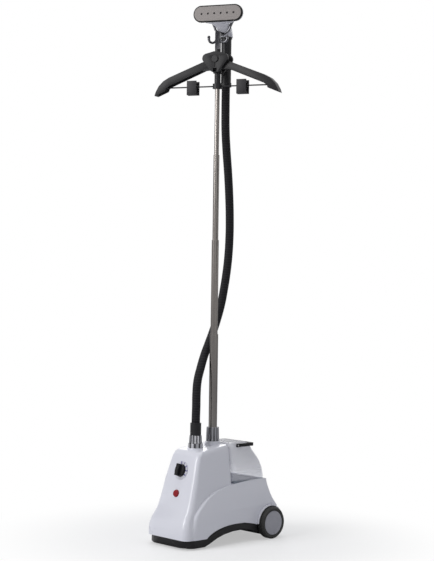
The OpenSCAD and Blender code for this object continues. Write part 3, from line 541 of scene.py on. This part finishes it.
# Black plastic mouldings: base skirt, hanger hub and arms, clips, tank handle and dial knob.
# Each is the bare moulding with its outer edges rounded, and its own depth of black and gloss.
for node, body, name, edge, dark, light, rough in (
    ("base_skirt", "base", "skirt_band", 0.0016, 0.005, 0.010, 0.42),
    ("hub_front", "mast_4", "hub_front_cover", 0.0022, 0.009, 0.017, 0.44),
    ("hub_back", "mast_4", "hub_back_cover", 0.0018, 0.009, 0.017, 0.44),
    ("arm_right", "mast_4", "hanger_arm_right", 0.0015, 0.009, 0.017, 0.42),
    ("arm_left", "mast_4", "hanger_arm_left", 0.0015, 0.009, 0.017, 0.42),
    ("clip_right_body", "clip_right", "clip_front_right", 0.0014, 0.018, 0.034, 0.46),
    ("clip_left_body", "clip_left", "clip_front_left", 0.0014, 0.018, 0.034, 0.46),
    ("clip_right_jaw", "clip_right_jaw", "clip_rear_right", 0.0012, 0.018, 0.034, 0.46),
    ("clip_left_jaw", "clip_left_jaw", "clip_rear_left", 0.0012, 0.018, 0.034, 0.46),
    ("tank_handle", "tank_handle", "tank_grip", 0.0014, 0.006, 0.012, 0.12),
    ("dial_knob", "dial", "dial_grip", 0.0013, 0.007, 0.014, 0.22),
):
    bpy.ops.object.select_all(action="DESELECT")
    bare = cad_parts[node]
    moulding = bpy.data.objects.new(name, bare.data.copy())
    bpy.context.scene.collection.objects.link(moulding)
    moulding.select_set(True)
    bpy.context.view_layer.objects.active = moulding
    bpy.ops.object.mode_set(mode="EDIT")
    bpy.ops.mesh.select_all(action="SELECT")
    bpy.ops.mesh.remove_doubles(threshold=0.00002)
    bpy.ops.mesh.dissolve_limited(angle_limit=math.radians(1.0))
    bpy.ops.mesh.normals_make_consistent(inside=False)
    bpy.ops.object.mode_set(mode="OBJECT")
    step = moulding.modifiers.new("round", "BEVEL")
    step.width = edge
    step.segments = 3
    step.limit_method = "ANGLE"
    step.angle_limit = math.radians(40)
    bpy.ops.object.modifier_apply(modifier=step.name)
    bpy.ops.object.shade_smooth_by_angle(angle=math.radians(35))
    mat = bpy.data.materials.new(name + "_satin")
    mat.use_nodes = True
    nt = mat.node_tree
    shader = nt.nodes["Principled BSDF"]
    coords = nt.nodes.new("ShaderNodeTexCoord")
    grain = nt.nodes.new("ShaderNodeTexNoise")
    grain.inputs["Scale"].default_value = 60
    grain.inputs["Detail"].default_value = 6
    fine = nt.nodes.new("ShaderNodeTexNoise")
    fine.inputs["Scale"].default_value = 1400
    tone = nt.nodes.new("ShaderNodeValToRGB")
    tone.color_ramp.elements[0].color = (dark, dark * 0.96, dark * 1.08, 1)
    tone.color_ramp.elements[1].color = (light, light * 0.96, light * 1.08, 1)
    bump = nt.nodes.new("ShaderNodeBump")
    bump.inputs["Strength"].default_value = 0.15
    bump.inputs["Distance"].default_value = 0.0003
    nt.links.new(coords.outputs["Object"], grain.inputs["Vector"])
    nt.links.new(coords.outputs["Object"], fine.inputs["Vector"])
    nt.links.new(grain.outputs["Fac"], tone.inputs["Fac"])
    nt.links.new(fine.outputs["Fac"], bump.inputs["Height"])
    nt.links.new(tone.outputs["Color"], shader.inputs["Base Color"])
    nt.links.new(bump.outputs["Normal"], shader.inputs["Normal"])
    shader.inputs["Roughness"].default_value = rough
    shader.inputs["Specular IOR Level"].default_value = 0.22
    moulding.data.materials.clear()
    moulding.data.materials.append(mat)
    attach(moulding, body)
    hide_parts(node)

# Bare plastic and rubber pieces: guide rings, bushes, bearings, sockets, tray and the parts inside.
# Each keeps its moulded shape, with softened edges in its surface and a mottled, slightly
# rough skin.
for nodes, dark, light, rough, size in (
    (("axle_bearings", "rotary_switch", "pole_socket", "thermostat", "valve_seat",
      "guide_ring_1", "guide_ring_2", "guide_ring_3"),
     (0.012, 0.012, 0.013), (0.030, 0.030, 0.032), 0.5, 90),
    (("front_feet", "cord_gland", "head_gasket"),
     (0.008, 0.008, 0.008), (0.018, 0.018, 0.018), 0.8, 160),
    (("hanger_sleeve", "hanger_button", "clip_rods"),
     (0.010, 0.010, 0.011), (0.022, 0.021, 0.024), 0.36, 80),
    (("neck_ring", "handset_handle", "hose_cuff"),
     (0.007, 0.007, 0.008), (0.017, 0.017, 0.019), 0.42, 120),
    (("deck_tray",), (0.235, 0.262, 0.318), (0.290, 0.318, 0.375), 0.42, 22),
    (("lamp_holder", "feed_pipe", "foot_bush_2", "foot_bush_3", "foot_bush_4"),
     (0.55, 0.52, 0.44), (0.70, 0.68, 0.60), 0.48, 40),
    (("tank_cap",), (0.012, 0.020, 0.055), (0.022, 0.034, 0.085), 0.4, 60),
    (("wheel_right_hub", "wheel_left_hub"), (0.33, 0.33, 0.37), (0.39, 0.39, 0.43), 0.35, 30),
):
    mat = bpy.data.materials.new(nodes[0] + "_skin")
    mat.use_nodes = True
    nt = mat.node_tree
    shader = nt.nodes["Principled BSDF"]
    coords = nt.nodes.new("ShaderNodeTexCoord")
    grain = nt.nodes.new("ShaderNodeTexNoise")
    grain.inputs["Scale"].default_value = size
    grain.inputs["Detail"].default_value = 6
    tone = nt.nodes.new("ShaderNodeValToRGB")
    tone.color_ramp.elements[0].color = (*dark, 1)
    tone.color_ramp.elements[1].color = (*light, 1)
    soft = nt.nodes.new("ShaderNodeBevel")
    soft.samples = 4
    soft.inputs["Radius"].default_value = 0.0008
    bump = nt.nodes.new("ShaderNodeBump")
    bump.inputs["Strength"].default_value = 0.12
    bump.inputs["Distance"].default_value = 0.0003
    nt.links.new(coords.outputs["Object"], grain.inputs["Vector"])
    nt.links.new(grain.outputs["Fac"], tone.inputs["Fac"])
    nt.links.new(grain.outputs["Fac"], bump.inputs["Height"])
    nt.links.new(soft.outputs["Normal"], bump.inputs["Normal"])
    nt.links.new(tone.outputs["Color"], shader.inputs["Base Color"])
    nt.links.new(bump.outputs["Normal"], shader.inputs["Normal"])
    shader.inputs["Roughness"].default_value = rough
    shader.inputs["Specular IOR Level"].default_value = 0.25
    for node in nodes:
        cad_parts[node].data.materials.clear()
        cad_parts[node].data.materials.append(mat)

# Pole tubes and bare metal: brushed stainless steel drawn lengthwise, with fine lines along it.
# The axle, boiler, pipe, terminals and soleplate are plain metal, each in its own colour.
for nodes, dark, light, rough, stretch in (
    (("pole_tube_1", "pole_tube_2", "pole_tube_3", "pole_tube_4"),
     (0.19, 0.175, 0.165), (0.29, 0.27, 0.255), 0.22, (900, 900, 2)),
    (("axle",), (0.45, 0.45, 0.46), (0.60, 0.60, 0.61), 0.30, (2, 700, 700)),
    (("boiler",), (0.40, 0.40, 0.41), (0.55, 0.55, 0.56), 0.45, (60, 60, 60)),
    (("heater_terminals",), (0.55, 0.40, 0.14), (0.68, 0.52, 0.22), 0.35, (90, 90, 90)),
    (("steam_pipe",), (0.52, 0.25, 0.13), (0.66, 0.34, 0.19), 0.32, (300, 300, 6)),
    (("soleplate",), (0.215, 0.195, 0.188), (0.255, 0.235, 0.228), 0.42, (14, 400, 400)),
):
    mat = bpy.data.materials.new(nodes[0] + "_metal")
    mat.use_nodes = True
    nt = mat.node_tree
    shader = nt.nodes["Principled BSDF"]
    coords = nt.nodes.new("ShaderNodeTexCoord")
    place = nt.nodes.new("ShaderNodeMapping")
    place.inputs["Scale"].default_value = stretch
    grain = nt.nodes.new("ShaderNodeTexNoise")
    grain.inputs["Scale"].default_value = 1
    grain.inputs["Detail"].default_value = 4
    tone = nt.nodes.new("ShaderNodeValToRGB")
    tone.color_ramp.elements[0].color = (*dark, 1)
    tone.color_ramp.elements[1].color = (*light, 1)
    soft = nt.nodes.new("ShaderNodeBevel")
    soft.samples = 4
    soft.inputs["Radius"].default_value = 0.0006
    bump = nt.nodes.new("ShaderNodeBump")
    bump.inputs["Strength"].default_value = 0.10
    bump.inputs["Distance"].default_value = 0.0002
    nt.links.new(coords.outputs["Object"], place.inputs["Vector"])
    nt.links.new(place.outputs["Vector"], grain.inputs["Vector"])
    nt.links.new(grain.outputs["Fac"], tone.inputs["Fac"])
    nt.links.new(grain.outputs["Fac"], bump.inputs["Height"])
    nt.links.new(soft.outputs["Normal"], bump.inputs["Normal"])
    nt.links.new(tone.outputs["Color"], shader.inputs["Base Color"])
    nt.links.new(bump.outputs["Normal"], shader.inputs["Normal"])
    shader.inputs["Specular IOR Level"].default_value = 0.2
    shader.inputs["Metallic"].default_value = 1.0 if nodes[0] != "soleplate" else 0.15
    shader.inputs["Roughness"].default_value = rough
    for node in nodes:
        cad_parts[node].data.materials.clear()
        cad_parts[node].data.materials.append(mat)

# Chrome pieces: hose nut, pole lock collar, hose union and hook bracket, plated and polished.
# The nuts and the union have painted shade and painted reflection as dark bands round their
# grooves, all four have a mottle of painted dark reflection in the base colour, and the polish is
# faintly smeared.
for node, middle, grooves, start in (
    ("hose_nut", -0.078, 12, 0.0), ("pole_lock_collar", -0.010, 12, 0.0),
    ("hose_union", -0.078, 9, 1.2), ("hook_bracket", -0.010, 0, 0.5),
):
    mat = bpy.data.materials.new(node + "_chrome")
    mat.use_nodes = True
    nt = mat.node_tree
    shader = nt.nodes["Principled BSDF"]
    coords = nt.nodes.new("ShaderNodeTexCoord")
    place = nt.nodes.new("ShaderNodeMapping")
    place.inputs["Location"].default_value = (0, -middle, 0)
    split = nt.nodes.new("ShaderNodeSeparateXYZ")
    angle = nt.nodes.new("ShaderNodeMath")
    angle.operation = "ARCTAN2"
    times = nt.nodes.new("ShaderNodeMath")
    times.operation = "MULTIPLY_ADD"
    times.inputs[1].default_value = grooves
    times.inputs[2].default_value = start
    # Painted shade and painted reflection: the base colour turns dark in bands round the grooves.
    painted_groove_bands = nt.nodes.new("ShaderNodeMath")
    painted_groove_bands.operation = "COSINE"
    # The smear noise roughens the polish and also mottles the base colour darker, a painted dark
    # reflection.
    smear_and_dark_reflection = nt.nodes.new("ShaderNodeTexNoise")
    smear_and_dark_reflection.inputs["Scale"].default_value = 14
    smear_and_dark_reflection.inputs["Detail"].default_value = 3
    polish = nt.nodes.new("ShaderNodeMapRange")
    polish.inputs["To Min"].default_value = 0.08
    polish.inputs["To Max"].default_value = 0.16
    painted_reflection_level = nt.nodes.new("ShaderNodeMath")
    painted_reflection_level.operation = "MULTIPLY_ADD"
    painted_reflection_level.inputs[1].default_value = -0.38
    # Near-black to mid-grey chrome base colour, which carries the painted shade and painted
    # reflection.
    tone = nt.nodes.new("ShaderNodeValToRGB")
    tone.color_ramp.elements[0].position = 0.10
    tone.color_ramp.elements[0].color = (0.030, 0.030, 0.034, 1)
    tone.color_ramp.elements[1].position = 0.72
    tone.color_ramp.elements[1].color = (0.48, 0.48, 0.51, 1)
    soft = nt.nodes.new("ShaderNodeBevel")
    soft.samples = 6
    soft.inputs["Radius"].default_value = 0.0008
    nt.links.new(coords.outputs["Object"], place.inputs["Vector"])
    nt.links.new(coords.outputs["Object"], smear_and_dark_reflection.inputs["Vector"])
    nt.links.new(place.outputs["Vector"], split.inputs["Vector"])
    nt.links.new(split.outputs["Y"], angle.inputs[0])
    nt.links.new(split.outputs["X"], angle.inputs[1])
    nt.links.new(angle.outputs[0], times.inputs[0])
    nt.links.new(times.outputs[0], painted_groove_bands.inputs[0])
    nt.links.new(painted_groove_bands.outputs[0], painted_reflection_level.inputs[0])
    nt.links.new(smear_and_dark_reflection.outputs["Fac"], painted_reflection_level.inputs[2])
    nt.links.new(smear_and_dark_reflection.outputs["Fac"], polish.inputs["Value"])
    nt.links.new(painted_reflection_level.outputs[0], tone.inputs["Fac"])
    nt.links.new(polish.outputs["Result"], shader.inputs["Roughness"])
    nt.links.new(tone.outputs["Color"], shader.inputs["Base Color"])
    nt.links.new(soft.outputs["Normal"], shader.inputs["Normal"])
    shader.inputs["Metallic"].default_value = 1.0
    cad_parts[node].data.materials.clear()
    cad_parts[node].data.materials.append(mat)

# Wheel arch lips: white trim moulded round the top of each wheel opening, standing proud of
# the side.
# Each is a flat bar spun about the axle, over the wheel from its front to its rear.
arch_radius = 0.0503
for side in (-1, 1):
    bpy.ops.object.select_all(action="DESELECT")
    bpy.ops.mesh.primitive_plane_add(size=1, location=(0, 0, 0))
    lip = bpy.context.object
    lip.name = "arch_lip_right" if side > 0 else "arch_lip_left"
    lip.scale = (0.012, 0.0030, 1)
    lip.location = (side * 0.0900, axle_y - arch_radius, axle_z)
    bpy.ops.object.transform_apply(location=True, rotation=False, scale=True)
    bpy.ops.object.mode_set(mode="EDIT")
    bpy.ops.mesh.select_all(action="SELECT")
    bpy.ops.mesh.spin(steps=40, angle=math.radians(168), center=(0, axle_y, axle_z), axis=(1, 0, 0))
    bpy.ops.mesh.select_all(action="DESELECT")
    bpy.ops.mesh.select_non_manifold()
    bpy.ops.mesh.edge_face_add()
    bpy.ops.mesh.select_all(action="SELECT")
    bpy.ops.mesh.remove_doubles(threshold=0.00001)
    bpy.ops.mesh.normals_make_consistent(inside=False)
    bpy.ops.object.mode_set(mode="OBJECT")
    step = lip.modifiers.new("round", "BEVEL")
    step.width = 0.0012
    step.segments = 3
    step.limit_method = "ANGLE"
    step.angle_limit = math.radians(40)
    bpy.ops.object.modifier_apply(modifier=step.name)
    bpy.ops.object.shade_smooth_by_angle(angle=math.radians(35))
    lip.data.materials.clear()
    lip.data.materials.append(bpy.data.materials["head_gloss"])
    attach(lip, "base")

# Tyres: soft black rubber with fine ribs moulded across the tread.
# The ribs are in the surface only, made from bands that turn round the axle.
tread_ribs = 48
mat = bpy.data.materials.new("tyre_rubber")
mat.use_nodes = True
nt = mat.node_tree
shader = nt.nodes["Principled BSDF"]
coords = nt.nodes.new("ShaderNodeTexCoord")
place = nt.nodes.new("ShaderNodeMapping")
place.inputs["Location"].default_value = (0, -axle_y, -axle_z)
split = nt.nodes.new("ShaderNodeSeparateXYZ")
angle = nt.nodes.new("ShaderNodeMath")
angle.operation = "ARCTAN2"
times = nt.nodes.new("ShaderNodeMath")
times.operation = "MULTIPLY"
times.inputs[1].default_value = tread_ribs
ribs = nt.nodes.new("ShaderNodeMath")
ribs.operation = "SINE"
grain = nt.nodes.new("ShaderNodeTexNoise")
grain.inputs["Scale"].default_value = 220
tone = nt.nodes.new("ShaderNodeValToRGB")
tone.color_ramp.elements[0].color = (0.007, 0.007, 0.007, 1)
tone.color_ramp.elements[1].color = (0.018, 0.018, 0.018, 1)
bump = nt.nodes.new("ShaderNodeBump")
bump.inputs["Strength"].default_value = 0.35
bump.inputs["Distance"].default_value = 0.0006
nt.links.new(coords.outputs["Object"], place.inputs["Vector"])
nt.links.new(coords.outputs["Object"], grain.inputs["Vector"])
nt.links.new(place.outputs["Vector"], split.inputs["Vector"])
nt.links.new(split.outputs["Y"], angle.inputs[0])
nt.links.new(split.outputs["Z"], angle.inputs[1])
nt.links.new(angle.outputs[0], times.inputs[0])
nt.links.new(times.outputs[0], ribs.inputs[0])
nt.links.new(ribs.outputs[0], bump.inputs["Height"])
nt.links.new(grain.outputs["Fac"], tone.inputs["Fac"])
nt.links.new(tone.outputs["Color"], shader.inputs["Base Color"])
nt.links.new(bump.outputs["Normal"], shader.inputs["Normal"])
shader.inputs["Roughness"].default_value = 0.7
for node in ("wheel_right_tyre", "wheel_left_tyre"):
    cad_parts[node].data.materials.clear()
    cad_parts[node].data.materials.append(mat)

# Indicator lens: red plastic, with fine ribs moulded inside it.
# It is pressed into the housing in front of its lamp.
mat = bpy.data.materials.new("lens_red")
mat.use_nodes = True
nt = mat.node_tree
shader = nt.nodes["Principled BSDF"]
coords = nt.nodes.new("ShaderNodeTexCoord")
facets = nt.nodes.new("ShaderNodeTexWave")
facets.wave_type = "BANDS"
facets.bands_direction = "X"
facets.inputs["Scale"].default_value = 160
tone = nt.nodes.new("ShaderNodeValToRGB")
tone.color_ramp.elements[0].color = (0.17, 0.001, 0.005, 1)
tone.color_ramp.elements[1].color = (0.34, 0.002, 0.010, 1)
soft = nt.nodes.new("ShaderNodeBevel")
soft.samples = 6
soft.inputs["Radius"].default_value = 0.0028
nt.links.new(coords.outputs["Object"], facets.inputs["Vector"])
nt.links.new(facets.outputs["Fac"], tone.inputs["Fac"])
nt.links.new(tone.outputs["Color"], shader.inputs["Base Color"])
nt.links.new(soft.outputs["Normal"], shader.inputs["Normal"])
shader.inputs["Roughness"].default_value = 0.3
shader.inputs["Specular IOR Level"].default_value = 0.25
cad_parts["indicator_lens"].data.materials.clear()
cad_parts["indicator_lens"].data.materials.append(mat)

# Dial plate: white ring fixed to the housing, with plain blue marks for the steam settings.
# The numbers are thin raised print on its upper right.
mat = bpy.data.materials.new("dial_plate_white")
mat.use_nodes = True
nt = mat.node_tree
shader = nt.nodes["Principled BSDF"]
coords = nt.nodes.new("ShaderNodeTexCoord")
grain = nt.nodes.new("ShaderNodeTexNoise")
grain.inputs["Scale"].default_value = 40
tone = nt.nodes.new("ShaderNodeValToRGB")
tone.color_ramp.elements[0].color = (0.60, 0.60, 0.66, 1)
tone.color_ramp.elements[1].color = (0.70, 0.70, 0.76, 1)
soft = nt.nodes.new("ShaderNodeBevel")
soft.samples = 4
soft.inputs["Radius"].default_value = 0.0010
nt.links.new(coords.outputs["Object"], grain.inputs["Vector"])
nt.links.new(grain.outputs["Fac"], tone.inputs["Fac"])
nt.links.new(tone.outputs["Color"], shader.inputs["Base Color"])
nt.links.new(soft.outputs["Normal"], shader.inputs["Normal"])
shader.inputs["Roughness"].default_value = 0.3
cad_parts["dial_plate"].data.materials.clear()
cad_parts["dial_plate"].data.materials.append(mat)
ink = bpy.data.materials.new("dial_ink")
ink.use_nodes = True
nt = ink.node_tree
shader = nt.nodes["Principled BSDF"]
coords = nt.nodes.new("ShaderNodeTexCoord")
grain = nt.nodes.new("ShaderNodeTexNoise")
grain.inputs["Scale"].default_value = 500
tone = nt.nodes.new("ShaderNodeValToRGB")
tone.color_ramp.elements[0].color = (0.020, 0.015, 0.170, 1)
tone.color_ramp.elements[1].color = (0.045, 0.035, 0.260, 1)
nt.links.new(coords.outputs["Object"], grain.inputs["Vector"])
nt.links.new(grain.outputs["Fac"], tone.inputs["Fac"])
nt.links.new(tone.outputs["Color"], shader.inputs["Base Color"])
shader.inputs["Roughness"].default_value = 0.5
slope = math.atan(15 / 50)
for index, (mark, turn) in enumerate((("0", 100), ("1", 68), ("2", 36), ("3", 4), ("4", -28))):
    bpy.ops.object.select_all(action="DESELECT")
    bpy.ops.object.text_add(location=(0, 0, 0))
    text = bpy.context.object
    text.data.body = mark
    text.data.size = 0.0098
    text.data.offset = 0.0003
    text.data.align_x = "CENTER"
    text.data.align_y = "CENTER"
    text.data.extrude = 0.0002
    bpy.ops.object.convert(target="MESH")
    text = bpy.context.object
    text.name = "dial_mark_" + str(index)
    reach = 0.0227
    text.data.transform(
        Matrix.Translation((0, -0.1318, 0.214))
        @ Matrix.Rotation(math.radians(90) - slope, 4, "X")
        @ Matrix.Translation((
            reach * math.cos(math.radians(turn)), reach * math.sin(math.radians(turn)), 0.00215))
        @ Matrix.Rotation(math.radians(turn - 90), 4, "Z"))
    text.data.materials.clear()
    text.data.materials.append(ink)
    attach(text, "base")

bpy.context.view_layer.update()
